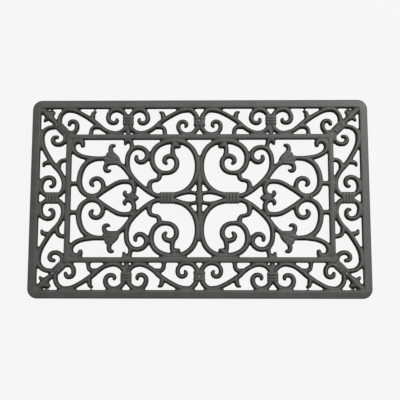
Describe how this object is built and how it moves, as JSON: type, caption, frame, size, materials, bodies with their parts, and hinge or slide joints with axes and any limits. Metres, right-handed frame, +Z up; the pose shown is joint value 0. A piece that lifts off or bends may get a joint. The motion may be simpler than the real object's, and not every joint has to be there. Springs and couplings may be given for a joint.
{
  "type": "door mat",
  "caption": "Rectangular cast iron door mat of pierced scrollwork in a plain frame, standing on rubber feet held by semi-tubular rivets.",
  "frame": {"origin": "on the floor under the middle of the mat", "axes": "+X along the length, +Y across the width towards the edge that is at the top of the picture, +Z up"},
  "size_m": [0.73, 0.43, 0.0163],
  "materials": {
    "painted_iron": "sand-cast iron under thin dark grey paint, satin to matt, lighter on the crests of the bars",
    "foot_rubber": "matt black moulded rubber",
    "rivet_steel": "steel under the mat's dark paint, bare and bright inside its hollow end"
  },
  "bodies": {
    "root": {"scroll_casting": "painted_iron", "foot_front_left": "foot_rubber", "foot_front_middle": "foot_rubber", "foot_front_right": "foot_rubber", "foot_back_left": "foot_rubber", "foot_back_middle": "foot_rubber", "foot_back_right": "foot_rubber", "rivet_front_left": "rivet_steel", "rivet_front_middle": "rivet_steel", "rivet_front_right": "rivet_steel", "rivet_back_left": "rivet_steel", "rivet_back_middle": "rivet_steel", "rivet_back_right": "rivet_steel"}
  },
  "joints": []
}
